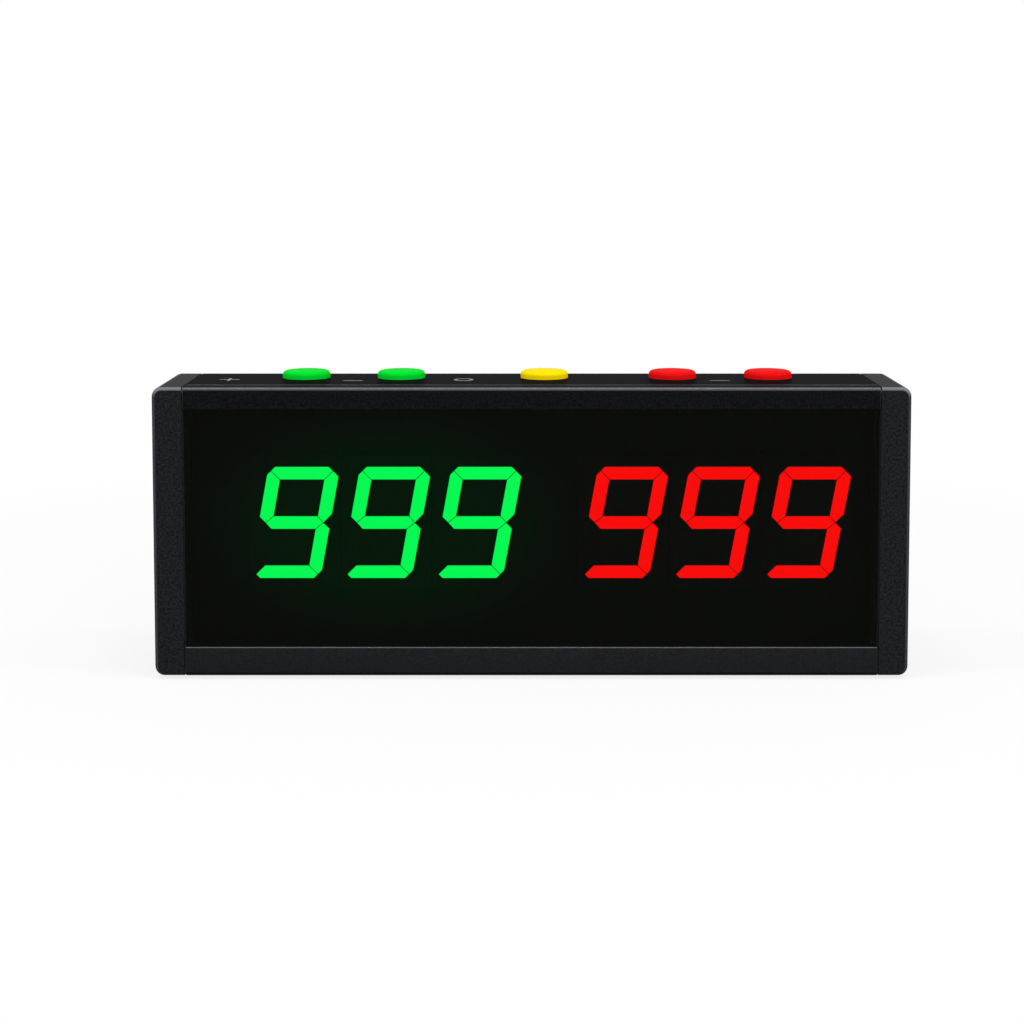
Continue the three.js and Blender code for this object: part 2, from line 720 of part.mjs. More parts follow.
// Buttons: a hollow cap with two ears under the rail's plate, and a stem that presses the
// plunger of a push switch
function buttonCap() {
  const radius = buttonDiameter / 2;
  const inside = radius - buttonWall;
  const ceiling = buttonStand - buttonTopThickness;
  const foot = stemBottom - caseHeight;
  const cap = turned([
    [0, foot],
    [buttonStem / 2, foot],
    [buttonStem / 2, ceiling],
    [inside, ceiling],
    [inside, -buttonSkirtDepth],
    [radius, -buttonSkirtDepth],
    ...quarterArc(radius - buttonEdge, buttonStand - buttonEdge, buttonEdge),
    [0, buttonStand],
  ]);
  const earTop = -plateThickness - fitGap;
  const ear = (side) =>
    boxBetween(
      [side * (radius - buttonWall / 2), side * (radius + earReach)],
      [-earWidth / 2, earWidth / 2],
      [earTop - earThickness, earTop],
    );
  return joined([cap, ear(-1), ear(1)]);
}

function switchBody() {
  const half = [-switchSize / 2, switchSize / 2];
  const body = boxBetween(half, half, [0, switchHeight]);
  const bore = [switchFloor, switchHeight + cutOverrun];
  return body.subtract(cylinder("z", plungerDiameter / 2 + fitGap, bore, [0, 0], smallSides));
}

const buttonGeometry = geometryOf(buttonCap());
const switchGeometry = geometryOf(switchBody());
const plungerSpan = [plungerBottom - caseHeight, plungerTop - caseHeight];
const plungerGeometry = geometryOf(cylinder("z", plungerDiameter / 2, plungerSpan, [0, 0], smallSides));
for (const { name, x, color } of buttons) {
  const place = new THREE.Group();
  place.position.set(x, buttonY, caseHeight);
  addPiece(`${name}_button`, buttonGeometry, material(color, 0.4), place);
  addPiece(`${name}_plunger`, plungerGeometry, plungerPlastic, place);
  const body = addPiece(`${name}_switch`, switchGeometry, blackPlastic, place);
  body.position.z = switchBottom - caseHeight;
  shell.add(place);
}

const buttonBoardY = [
  buttonRibBack - slotDepth + fitGap,
  innerFingerFront + slotDepth - fitGap,
];
const buttonBoardZ = [buttonBoardTop - boardThickness, buttonBoardTop];
addPiece("button_board", boxBetween(slideSpan, buttonBoardY, buttonBoardZ), boardResin);

// Power socket: a threaded barrel with an outer flange, a contact pin and two solder tabs,
// held by a nut inside the case
function powerSocket() {
  const face = panelOuter + fitGap + socketFlangeHeight;
  const rear = panelInner - socketLength;
  const axis = [socketX, inletZ];
  const boreFloor = face - socketBoreDepth;
  const shellSolid = joined([
    cylinder("y", socketThread / 2, [rear, face - socketFlangeHeight / 2], axis),
    cylinder("y", socketFlange / 2, [face - socketFlangeHeight, face], axis),
  ]);
  const bored = shellSolid.subtract(
    cylinder("y", socketBore / 2, [boreFloor, face + cutOverrun], axis, smallSides),
  );
  const pinSpan = [boreFloor - tabLength / 2, face - socketPinSink];
  const pin = cylinder("y", socketPin / 2, pinSpan, axis, smallSides);
  const tab = (side) =>
    boxBetween(
      [socketX - tabWidth / 2, socketX + tabWidth / 2],
      [rear - tabLength, rear + tabLength / 2],
      [inletZ + side * tabWidth, inletZ + side * (tabWidth - tabThickness)],
    );
  return joined([bored, pin, tab(-1), tab(1)]);
}

function socketNut() {
  const corner = nutAcrossFlats / Math.sqrt(3);
  const back = panelInner - fitGap;
  const hexagon = cylinder("y", corner, [back - nutHeight, back], [socketX, inletZ], 6);
  const bore = [back - nutHeight - cutOverrun, back + cutOverrun];
  return hexagon.subtract(cylinder("y", socketThread / 2 + fitGap, bore, [socketX, inletZ]));
}

addPiece("power_socket", powerSocket(), blackPlastic);
addPiece("power_socket_nut", socketNut(), nickel);

// Power switch: a bezel and body with a pocket, and a paddle that rocks on two stub pins.
// The paddle is drawn level round its axis and rests tipped to its ON side.
function powerSwitchBody() {
  const bezelShape = roundedRectangle(bezelWidth, bezelHeight, bezelCorner);
  const bezel = prismY(bezelShape, [bezelFace - bezelThickness, bezelFace]);
  const bodyX = [-switchBodyWidth / 2, switchBodyWidth / 2];
  const bodyZ = [-switchBodyHeight / 2, switchBodyHeight / 2];
  const rear = panelInner - switchBodyDepth;
  const body = boxBetween(bodyX, [rear, bezelFace - bezelThickness / 2], bodyZ);
  const tab = (side) =>
    boxBetween(
      [-tabWidth / 2, tabWidth / 2],
      [rear - tabLength, rear + tabLength / 2],
      [side * tabLength, side * (tabLength + tabThickness)],
    );
  const pocket = boxBetween(
    [-rockerPocketWidth / 2, rockerPocketWidth / 2],
    [bezelFace - rockerPocketDepth, bezelFace + cutOverrun],
    [-rockerPocketHeight / 2, rockerPocketHeight / 2],
  );
  const pinReach = rockerPocketWidth / 2 + rockerPinLength;
  const pinHole = cylinder(
    "x",
    rockerPin / 2 + fitGap,
    [-pinReach, pinReach],
    [rockerAxisY, 0],
    smallSides,
  );
  return cutBy(joined([bezel, body, tab(-1), tab(1)]), [pocket, pinHole]);
}

function rocker() {
  const half = rockerHeight / 2;
  const face = new THREE.Shape();
  face.moveTo(-rockerDrop, -half + rockerDish);
  face.lineTo(rockerRise - rockerDish, -half);
  face.lineTo(rockerRise, -half + rockerDish);
  face.quadraticCurveTo(rockerRise - 2 * rockerDish, 0, rockerRise, half - rockerDish);
  face.lineTo(rockerRise - rockerDish, half);
  face.lineTo(-rockerDrop, half - rockerDish);
  const halfWidth = rockerPocketWidth / 2 - fitGap;
  const pinReach = halfWidth + rockerPinLength;
  return joined([
    prismX(face, [-halfWidth, halfWidth]),
    cylinder("x", rockerPin / 2, [-pinReach, pinReach], [0, 0], smallSides),
  ]);
}

addPiece("power_switch_body", powerSwitchBody(), blackPlastic).position.set(rockerX, 0, inletZ);
const paddle = addPiece("power_rocker", rocker(), blackPlastic);
paddle.position.set(rockerX, rockerAxisY, inletZ);
paddle.rotation.x = THREE.MathUtils.degToRad(rockerTilt);

// Leads between the socket, the power switch and the display board. Each leaves its solder tab
// straight, bows by its own amount, and meets what it feeds straight.
function lead(from, to, fromExit, toExit, bow) {
  const leave = from.clone().setY(from.y + fromExit);
  const meet = to.clone().setY(to.y + toExit);
  const bowed = (share) => leave.clone().lerp(meet, share).setZ((from.z + to.z) / 2 - bow);
  const path = new THREE.CatmullRomCurve3([from, leave, bowed(1 / 4), bowed(3 / 4), meet, to]);
  const section = new THREE.Shape();
  section.absarc(0, 0, leadDiameter / 2, 0, Math.PI * 2);
  const tube = new THREE.ExtrudeGeometry(section, {
    steps: leadSteps,
    extrudePath: path,
    curveSegments: leadSides / 2,
  });
  return solidOf(tube);
}

const socketTabs = panelInner - socketLength - tabLength - fitGap;
const switchTabs = panelInner - switchBodyDepth - tabLength - fitGap;
const socketTabZ = tabWidth - tabThickness / 2;
const switchTabZ = tabLength + tabThickness / 2;
const socketEnd = (side) => new THREE.Vector3(socketX, socketTabs, inletZ + side * socketTabZ);
const switchEnd = (side) => new THREE.Vector3(rockerX, switchTabs, inletZ + side * switchTabZ);
const boardEnd = (side) =>
  new THREE.Vector3(controllerX + side * controllerSize, boardBack + fitGap, inletZ);

const linkLead = lead(socketEnd(1), switchEnd(1), -leadExit, -leadExit, -leadBow);
const liveLead = lead(switchEnd(-1), boardEnd(-1), -leadExit, leadExit, leadBow);
const returnLead = lead(socketEnd(-1), boardEnd(1), -leadExit, leadExit, 2 * leadBow);
addPiece("socket_to_switch_lead", linkLead, redLead);
addPiece("switch_to_board_lead", liveLead, redLead);
addPiece("socket_to_board_lead", returnLead, blackLead);

// Ribbon cable from the button board down to the display board
function ribbonCable() {
  const half = ribbonThickness / 2;
  const top = buttonBoardTop - boardThickness - fitGap;
  const run = top - ribbonDrop;
  const cornerY = ribbonY - ribbonBend;
  const cornerZ = run + ribbonBend;
  const end = boardBack + fitGap;
  const shape = new THREE.Shape();
  shape.moveTo(ribbonY + half, top);
  shape.absarc(cornerY, cornerZ, ribbonBend + half, 0, -Math.PI / 2, true);
  shape.lineTo(end, run - half);
  shape.lineTo(end, run + half);
  shape.absarc(cornerY, cornerZ, ribbonBend - half, -Math.PI / 2, 0, false);
  shape.lineTo(ribbonY - half, top);
  return prismX(shape, [ribbonX - ribbonWidth / 2, ribbonX + ribbonWidth / 2]);
}

addPiece("ribbon_cable", ribbonCable(), ribbonJacket);

export default scoreboard;
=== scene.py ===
"""Electronic scoreboard: a black extruded case with moulded end caps, six lit digits behind a smoked
window, five push buttons on top, and a power socket and switch at the back.

Blender 4.5. Metres, +Z up, the front faces -Y, and the table top is at Z = 0."""

import json
import math

import bmesh
import bpy
import numpy as np
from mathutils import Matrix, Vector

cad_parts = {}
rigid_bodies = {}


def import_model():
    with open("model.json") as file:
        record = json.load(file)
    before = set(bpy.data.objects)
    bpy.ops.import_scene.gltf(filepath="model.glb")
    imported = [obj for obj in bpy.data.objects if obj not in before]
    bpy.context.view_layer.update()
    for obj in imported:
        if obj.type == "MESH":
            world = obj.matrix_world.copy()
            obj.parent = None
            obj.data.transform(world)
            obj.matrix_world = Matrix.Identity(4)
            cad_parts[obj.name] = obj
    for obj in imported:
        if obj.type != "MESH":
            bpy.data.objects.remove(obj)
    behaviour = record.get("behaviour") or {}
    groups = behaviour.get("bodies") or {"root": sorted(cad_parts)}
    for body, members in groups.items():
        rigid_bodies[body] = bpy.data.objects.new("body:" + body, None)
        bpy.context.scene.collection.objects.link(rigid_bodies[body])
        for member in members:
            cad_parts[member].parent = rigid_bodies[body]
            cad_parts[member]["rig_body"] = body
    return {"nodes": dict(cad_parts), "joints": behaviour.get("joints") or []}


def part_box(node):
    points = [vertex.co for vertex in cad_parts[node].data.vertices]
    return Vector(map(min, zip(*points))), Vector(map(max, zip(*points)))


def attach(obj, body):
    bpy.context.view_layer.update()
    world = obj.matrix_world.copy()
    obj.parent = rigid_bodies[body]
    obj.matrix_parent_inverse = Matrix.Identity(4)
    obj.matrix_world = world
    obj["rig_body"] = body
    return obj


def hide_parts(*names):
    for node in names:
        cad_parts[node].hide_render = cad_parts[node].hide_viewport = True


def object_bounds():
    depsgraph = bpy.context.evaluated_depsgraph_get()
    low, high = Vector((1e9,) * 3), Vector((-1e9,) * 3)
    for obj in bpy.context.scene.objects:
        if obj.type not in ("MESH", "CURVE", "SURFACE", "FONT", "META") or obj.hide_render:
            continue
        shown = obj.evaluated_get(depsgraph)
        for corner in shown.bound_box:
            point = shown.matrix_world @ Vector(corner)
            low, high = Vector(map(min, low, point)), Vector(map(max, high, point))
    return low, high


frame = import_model()
packed_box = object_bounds()


# Rails. The top and the bottom of the case are aluminium extrusions, sawn to length, blasted and
# anodised black. Their grooves hold the window, the boards and the rear panel, and screws in the
# end caps bite into their round ports.
mm = 0.001
lip_round = 0.35 * mm  # the die rounds the lip's front corners this much
sawn_share = 0.3  # sawn ends and outside edges are only broken, by this share of it
line_share = 0.6  # and the rear edge of the fine line along the top by this
lip_corner = 0.6 * mm  # how far from the case's outer lines the lip's corner edges lie
line_back = 7.7 * mm  # from the case's front to the fine line's rear edge
beside = 0.1 * mm  # an edge this close to a line or a face of the rail lies on it
blasted_grain = 0.7 * mm  # drawn about three times as coarse as the real grit, so that it shows
blasted_relief = 0.02 * mm
same_point = 0.001 * mm  # corners of loose triangles that are closer than this are one
flat_up_to = math.radians(1)  # triangles that meet at less than this make one flat face
curved_up_to = math.radians(35)  # faces that meet at less than this belong to one curve
edge_steps = 3  # faces across a broken edge
grain_detail = 3  # layers of ever finer noise in a grain
grain_low, grain_high = 0.3, 0.7  # nearly all of the noise lies between these values
highlight_start, highlight_end = 1.02, 1.38  # the sum of a normal's parts where the smoother wear and the painted edge highlight start, and where they are full
mix_share, mix_first, mix_second, mix_result = 0, 6, 7, 2  # the sockets of a Mix node for colours


def linear(srgb_hex):
    """The linear colour that shaders take, from a colour written as #rrggbb."""
    srgb = np.array([int(srgb_hex[at : at + 2], 16) for at in (1, 3, 5)]) / 255
    bright = ((srgb + 0.055) / 1.055) ** 2.4
    return (*np.where(srgb > 0.04045, bright, srgb / 12.92).tolist(), 1.0)


def add(tree, kind, inputs, **settings):
    """Adds a node of this kind with its settings. Each of its inputs gets a value, or a link if what
    it is given is another node's output."""
    made = tree.nodes.new(kind)
    for name, value in settings.items():
        setattr(made, name, value)
    for socket, value in inputs.items():
        if isinstance(value, bpy.types.NodeSocket):
            tree.links.new(value, made.inputs[socket])
        else:
            made.inputs[socket].default_value = value
    return made


def new_material(name, values):
    """A material with one Principled shader that has these values, and its object coordinates."""
    material = bpy.data.materials.new(name)
    material.use_nodes = True
    tree = material.node_tree
    tree.nodes.clear()
    shader = add(tree, "ShaderNodeBsdfPrincipled", values)
    add(tree, "ShaderNodeOutputMaterial", {"Surface": shader.outputs["BSDF"]})
    place = add(tree, "ShaderNodeTexCoord", {}).outputs["Object"]
    return material, tree, shader, place


def wear_and_highlight_edges(tree, across):
    """1 on rounded edges that face upwards, towards the lamp above, and 0 on flat faces: the parts of the
    normal add up to 1 on a face that looks along an axis, and to 1.41 halfway between two faces. A
    downward part doesn't count. Edges along the case count in full, and those that run across it by the
    share `across`. These edges are made smoother, as wear, and lighter, as a painted highlight."""
    normal = add(tree, "ShaderNodeNewGeometry", {}).outputs["Normal"]
    turned_in = {0: normal, 1: (-1, -1, 0)}
    other_way = add(tree, "ShaderNodeVectorMath", turned_in, operation="MULTIPLY").outputs[0]
    parts = add(tree, "ShaderNodeVectorMath", {0: normal, 1: other_way}, operation="MAXIMUM").outputs[0]
    weighed = {0: parts, 1: (across, 1, 1)}
    total = add(tree, "ShaderNodeVectorMath", weighed, operation="DOT_PRODUCT").outputs["Value"]
    limits = {"Value": total, "From Min": highlight_start, "From Max": highlight_end}
    return add(tree, "ShaderNodeMapRange", limits).outputs[0]


def grained(name, colours, roughness, grain, relief, values, wear_and_highlight=None):
    """A finish with a grain, `grain` wide and `relief` deep, that also shows in tone, between two close
    colours, and in gloss, between two roughnesses. Upper edges go over to a smoother roughness of their
    own, as wear, and to a lighter colour, which is a painted highlight, if these are given with the share
    for edges across the case."""
    material, tree, shader, place = new_material(name, values)
    texture_inputs = {"Vector": place, "Scale": 1 / grain, "Detail": grain_detail}
    texture = add(tree, "ShaderNodeTexNoise", texture_inputs).outputs[0]
    middle_part = {"Value": texture, "From Min": grain_low, "From Max": grain_high}
    share = add(tree, "ShaderNodeMapRange", middle_part).outputs[0]
    tones = {mix_share: share, mix_first: linear(colours[0]), mix_second: linear(colours[1])}
    tone = add(tree, "ShaderNodeMix", tones, data_type="RGBA").outputs[mix_result]
    gloss_inputs = {**middle_part, "To Min": roughness[0], "To Max": roughness[1]}
    gloss = add(tree, "ShaderNodeMapRange", gloss_inputs).outputs[0]
    if wear_and_highlight:
        edge_highlight_colour, edge_roughness, across = wear_and_highlight
        edges = wear_and_highlight_edges(tree, across)
        tones = {mix_share: edges, mix_first: tone, mix_second: linear(edge_highlight_colour)}
        tone = add(tree, "ShaderNodeMix", tones, data_type="RGBA").outputs[mix_result]
        gloss_inputs = {"Value": edges, "To Min": gloss, "To Max": edge_roughness}
        gloss = add(tree, "ShaderNodeMapRange", gloss_inputs).outputs[0]
    bump = add(tree, "ShaderNodeBump", {"Height": texture, "Distance": relief})
    tree.links.new(tone, shader.inputs["Base Color"])
    tree.links.new(gloss, shader.inputs["Roughness"])
    tree.links.new(bump.outputs[0], shader.inputs["Normal"])
    return material


def merged(node):
    """A working copy of a CAD node with its loose triangles joined into whole flat faces."""
    work = bmesh.new()
    work.from_mesh(frame["nodes"][node].data)
    bmesh.ops.remove_doubles(work, verts=work.verts, dist=same_point)
    bmesh.ops.dissolve_limit(work, angle_limit=flat_up_to, verts=work.verts, edges=work.edges)
    return work


def worked(node, work, edge, material, shares=None):
    """A piece that stands for a CAD node, from a working copy of it: arcs are shaded as curves, and
    sharp edges are broken by `edge`, or by the share of it that `shares` gives for their middles."""
    mesh = bpy.data.meshes.new(node + "_worked")
    work.to_mesh(mesh)
    work.free()
    mesh.shade_smooth()
    mesh.set_sharp_from_angle(angle=curved_up_to)
    mesh.materials.append(material)
    ends = np.empty(2 * len(mesh.edges), dtype=np.int32)
    mesh.edges.foreach_get("vertices", ends)
    places = np.empty(3 * len(mesh.vertices), dtype=np.float32)
    mesh.vertices.foreach_get("co", places)
    middles = places.reshape(-1, 3)[ends].reshape(-1, 2, 3).mean(axis=1)
    sharp = np.zeros(len(mesh.edges), dtype=bool)
    mesh.attributes["sharp_edge"].data.foreach_get("value", sharp)
    weight = np.where(sharp, shares(middles) if shares else 1.0, 0.0).astype(np.float32)
    mesh.attributes.new("bevel_weight_edge", "FLOAT", "EDGE").data.foreach_set("value", weight)
    piece = bpy.data.objects.new(node + "_worked", mesh)
    bpy.context.scene.collection.objects.link(piece)
    bevel = piece.modifiers.new("broken edges", "BEVEL")
    bevel.width = edge
    bevel.segments = edge_steps
    bevel.limit_method = "WEIGHT"
    bevel.use_clamp_overlap = shares is None
    bevel.harden_normals = True
    level = piece.modifiers.new("flat faces stay flat", "WEIGHTED_NORMAL")
    level.keep_sharp = True
    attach(piece, frame["nodes"][node]["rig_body"])
    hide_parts(node)


def rail_edges(middles):
    """The share for each edge of a rail: all on the lip's front corners, less along the fine line,
    at sawn ends and on the outside, and none on the grooves and ports inside."""
    x, y, z = np.abs(middles[:, 0]), middles[:, 1], middles[:, 2]
    case_front, case_back = packed_box[0][1], packed_box[1][1]
    bottom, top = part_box("bottom_rail")[0].z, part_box("top_rail")[1].z
    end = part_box("top_rail")[1].x
    outside = (z > top - beside) | (z < bottom + beside) | (y > case_back - beside)
    share = np.where(outside, sawn_share, 0.0)
    share[(np.abs(y - case_front - line_back) < beside) & (z > top - beside)] = line_share
    share[y < case_front + lip_corner] = 1
    share[x > end - beside] = sawn_share
    return share


# Blasted and black anodised aluminium is a layer of oxide, full of black dye, on a finely pitted
# metal: nearly black from the front, with a fine dark mottle, and with only part of a metal's sheen.
# Its upper edges are worn a little smoother, and painted brighter as the highlight of the lamp above.
anodised = grained(
    "blasted_black_anodised_aluminium",
    colours=("#090a0b", "#18191b"),
    roughness=(0.28, 0.38),
    grain=blasted_grain,
    relief=blasted_relief,
    values={"Metallic": 0.4, "Specular IOR Level": 0, "Specular Tint": linear("#505053")},
    wear_and_highlight=("#505156", 0.24, 1),
)
for node in ("top_rail", "bottom_rail"):
    worked(node, merged(node), lip_round, anodised, rail_edges)


# End caps. Each is one moulding of black ABS with a spark-eroded texture and rounded outer corners.
# Four screws pull it against the sawn ends of the rails, and a small step round its rim leaves a
# dark shadow line at the joint.
cap_edge = 0.12 * mm
cap_grain = 0.9 * mm  # drawn about twice as coarse as the real texture
cap_relief = 0.06 * mm
step_width = 0.45 * mm
step_depth = 0.9 * mm


def stepped(node, side):
    """A copy of an end cap, cut across at the step's width from the joint. The slice at the joint is
    shrunk about the cap's middle line by the step's depth, and both parts are closed again."""
    low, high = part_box(node)
    joint = low.x if side > 0 else high.x
    middle, half = (low + high) / 2, (high - low) / 2
    shrink = (1, 1 - step_depth / half.y, 1 - step_depth / half.z)
    to_line = Vector((0, -middle.y, -middle.z))
    both = bmesh.new()
    for outer in (True, False):
        part = merged(node)
        cut = bmesh.ops.bisect_plane(
            part,
            geom=part.verts[:] + part.edges[:] + part.faces[:],
            dist=same_point,
            plane_co=(joint + side * step_width, 0, 0),
            plane_no=(side, 0, 0),
            clear_inner=outer,
            clear_outer=not outer,
        )["geom_cut"]
        rim = [piece for piece in cut if isinstance(piece, bmesh.types.BMEdge)]
        bmesh.ops.triangle_fill(part, use_beauty=True, edges=rim)
        if not outer:
            bmesh.ops.translate(part, vec=to_line, verts=part.verts)
            bmesh.ops.scale(part, vec=shrink, verts=part.verts)
            bmesh.ops.translate(part, vec=-to_line, verts=part.verts)
        bmesh.ops.dissolve_limit(part, angle_limit=flat_up_to, verts=part.verts, edges=part.edges)
        bmesh.ops.recalc_face_normals(part, faces=part.faces)
        slice_mesh = bpy.data.meshes.new("slice")
        part.to_mesh(slice_mesh)
        part.free()
        both.from_mesh(slice_mesh)
        bpy.data.meshes.remove(slice_mesh)
    return both


# Spark-textured ABS is a dull, dark grey with a fine mottle. Its upper corners are worn a little smoother,
# and painted lighter as a highlight.
cap_abs = grained(
    "spark_textured_black_abs",
    colours=("#070809", "#212225"),
    roughness=(0.54, 0.66),
    grain=cap_grain,
    relief=cap_relief,
    values={"IOR": 1.52, "Specular IOR Level": 0.035},
    wear_and_highlight=("#6c6d72", 0.4, 0.45),
)
for node, side in (("left_end_cap", -1), ("right_end_cap", 1)):
    worked(node, stepped(node, side), cap_edge, cap_abs)


# End cap screws. Black oxidised steel, pan heads with a cross recess, sunk in round seats in the
# side faces of the caps.
screw_edge = 0.1 * mm
screw_grain = 0.5 * mm
screw_relief = 0.01 * mm

# The oxide is a thin, faintly blotchy skin that lets the metal's sheen through.
screw_steel = grained(
    "black_oxide_steel",
    colours=("#444548", "#505154"),
    roughness=(0.3, 0.46),
    grain=screw_grain,
    relief=screw_relief,
    values={"Metallic": 1.0},
)
for node in frame["nodes"]:
    if node.endswith("_screw"):
        worked(node, merged(node), screw_edge, screw_steel)


# Feet. Moulded rubber discs, let into the underside of the bottom rail.
foot_edge = 0.15 * mm
foot_grain = 0.6 * mm
foot_relief = 0.03 * mm

# Rubber is nearly black and scatters what it reflects.
foot_rubber = grained(
    "black_rubber",
    colours=("#131313", "#1a1a1a"),
    roughness=(0.76, 0.88),
    grain=foot_grain,
    relief=foot_relief,
    values={"IOR": 1.52, "Specular IOR Level": 0.3},
)
for node in frame["nodes"]:
    if node.endswith("_foot"):
        worked(node, merged(node), foot_edge, foot_rubber)


# Display board and button board. Glass-fibre laminate with copper tracks on it, printed over with a
# matt black solder mask, so that nothing but the digits shows through the window.
track_width = 2.5 * mm
track_relief = 0.035 * mm


def paint(node, material):
    """Gives a CAD node its material."""
    cad = frame["nodes"][node]
    cad.data.materials.clear()
    cad.data.materials.append(material)


# The mask is dull ink. The tracks lie under it as a faint relief.
board_mask = grained(
    "black_solder_mask",
    colours=("#050605", "#070807"),
    roughness=(0.59, 0.71),
    grain=track_width,
    relief=track_relief,
    values={"IOR": 1.52, "Specular IOR Level": 0.04},
)
for node in ("display_board", "button_board"):
    paint(node, board_mask)


# Chips. Black epoxy moulding compound with a dull, finely pitted top, soldered to the back of the
# display board.
chip_grain = 0.25 * mm
chip_relief = 0.01 * mm
chip_epoxy = grained(
    "epoxy_moulding_compound",
    colours=("#17181a", "#1d1e20"),
    roughness=(0.56, 0.68),
    grain=chip_grain,
    relief=chip_relief,
    values={"IOR": 1.52},
)
for node in ("controller_chip", "green_driver_chip", "red_driver_chip"):
    paint(node, chip_epoxy)


# Digits. Each is a housing of black polycarbonate with seven wells, filled with epoxy that spreads
# the light of the chips below it. Six bars are lit, which makes a 9, and the lower left one is dark.
figure_end_rim = 4.15 * mm  # from the housing's ends to the figure
figure_side_rim = 0.5 * mm  # from the housing's sides to the far ends of the uprights
bar_thickness = 4.6 * mm
upright_thickness = 4.9 * mm
lean_share = 0.182  # sideways lean for each unit of height
corner_reach = 4.7 * mm  # from an inner corner of the figure to its cut-off outer corner
wall = 0.22 * mm  # the moulded wall between two wells
bar_stand = 0.1 * mm  # the epoxy stands this far out of its well
bar_round = 0.06 * mm
bar_round_steps = 4
bar_depth = 7.5 * mm
crown = 0.03 * mm  # how far the middle of a bar stands above its rim
crown_rim = 0.4 * mm  # and how far in from its sides it does
housing_grain = 0.4 * mm
housing_relief = 0.01 * mm
epoxy_grain = 0.8 * mm
epoxy_relief = 0.005 * mm
glow_strength = 2.6


def surface(name, grid, ends=True):
    """A mesh from a grid of points: each row is a closed ring, rows are joined in order, and both
    end rings are closed by one face each, unless `ends` is false."""
    rows, around = grid.shape[:2]
    first = np.arange(rows * around).reshape(rows, around)
    ahead = np.roll(first, -1, axis=1)
    quads = np.stack([first[:-1], ahead[:-1], ahead[1:], first[1:]], axis=-1).reshape(-1, 4)
    faces = quads.tolist()
    if ends:
        faces += [first[0, ::-1].tolist(), first[-1].tolist()]
    mesh = bpy.data.meshes.new(name)
    mesh.from_pydata(grid.reshape(-1, 3).tolist(), [], faces)
    mesh.update()
    return mesh


def joined(name, meshes, material):
    """One object from several meshes, its faces turned outwards and its curves shaded smooth."""
    work = bmesh.new()
    for mesh in meshes:
        work.from_mesh(mesh)
        bpy.data.meshes.remove(mesh)
    bmesh.ops.remove_doubles(work, verts=work.verts, dist=same_point)
    bmesh.ops.recalc_face_normals(work, faces=work.faces)
    whole = bpy.data.meshes.new(name)
    work.to_mesh(whole)
    work.free()
    whole.shade_smooth()
    whole.set_sharp_from_angle(angle=curved_up_to)
    whole.materials.append(material)
    piece = bpy.data.objects.new(name, whole)
    bpy.context.scene.collection.objects.link(piece)
    return piece


def inset(outline, distance):
    """A convex outline with every side moved inwards: each corner goes along the sum of its two
    sides' inward normals, by distance / (1 + cosine of the angle between them)."""
    ahead = np.roll(outline, -1, axis=0) - outline
    turn = np.sign(np.cross(ahead, np.roll(ahead, -1, axis=0)).sum())
    normal = turn * np.stack([-ahead[:, 1], ahead[:, 0]], axis=1)
    normal /= np.linalg.norm(normal, axis=1, keepdims=True)
    before = np.roll(normal, 1, axis=0)
    share = 1 + (normal * before).sum(axis=1, keepdims=True)
    return outline + distance * (normal + before) / share


def seven_segments(height, width):
    """The outlines of the seven bars, in X and Z, out to the middles of the walls between them. The
    figure is a leaning rectangle, x = sideways + lean * z. Mitres run at 45 degrees from its inner
    corners to outer corners that are cut off square to them, and the middle bar points at both
    uprights. The last outline, of the lower left upright, is given apart."""
    edge_x, edge_z = width / 2 + wall / 2, height / 2 + wall / 2
    bar, post = bar_thickness + wall, upright_thickness + wall
    reach = corner_reach / math.sqrt(2)

    def corner(side, end):
        inner_z = end * (edge_z - bar)
        inner = np.array([side * (edge_x - post) + lean_share * inner_z, inner_z])
        mitre = inner + (side * reach, end * reach)
        to_level = edge_z - abs(mitre[1])
        to_post = (side * edge_x + lean_share * mitre[1] - mitre[0]) / (side + lean_share * end)
        level = mitre + (-side * to_level, end * to_level)
        upright = mitre + (side * to_post, -end * to_post)
        return inner, mitre, level, upright

    def waist(side, end):
        inner_z = end * bar / 2
        inner = np.array([side * (edge_x - post) + lean_share * inner_z, inner_z])
        mitre = np.array([side * (edge_x - post / 2), 0])
        to_post = side * post / 2 / (side - lean_share * end)
        return inner, mitre, mitre + (side * to_post, end * to_post)

    def level_bar(end):
        left, right = corner(-1, end), corner(1, end)
        return [left[1], left[2], right[2], right[1], right[0], left[0]]

    def post_bar(side, end):
        far, near = corner(side, end), waist(side, end)
        return [far[1], far[3], near[2], near[1], near[0], far[0]]

    left, right = waist(-1, 1), waist(1, 1)
    low_left, low_right = waist(-1, -1), waist(1, -1)
    middle = [left[1], left[0], right[0], right[1], low_right[0], low_left[0]]
    lit = [level_bar(1), middle, level_bar(-1), post_bar(-1, 1), post_bar(1, 1), post_bar(1, -1)]
    return [np.array(outline) for outline in lit], np.array(post_bar(-1, -1))


def epoxy_bar(outline, centre, face):
    """A bar of epoxy: its outline carried from the bottom of the well to the face, drawn in along a
    quarter circle at the rim, and crowned by a last ring further in."""
    angle = np.linspace(0, math.pi / 2, bar_round_steps)
    drawn_in = np.concatenate([[0], bar_round * (1 - np.cos(angle)), [crown_rim]])
    depth = np.concatenate([[bar_depth], bar_round * (1 - np.sin(angle)) + crown, [0]])
    rings = np.stack([inset(outline, wall / 2 + distance) for distance in drawn_in])
    grid = np.empty((*rings.shape[:2], 3))
    grid[..., 0] = centre.x + rings[..., 0]
    grid[..., 1] = face - bar_stand + depth[:, None]
    grid[..., 2] = centre.z + rings[..., 1]
    return surface("bar", grid)


# Black polycarbonate is dull here, so that it doesn't show beside the lit bars.
housing_plastic = grained(
    "black_polycarbonate",
    colours=("#050605", "#070807"),
    roughness=(0.59, 0.71),
    grain=housing_grain,
    relief=housing_relief,
    values={"IOR": 1.52, "Specular IOR Level": 0.04},
)


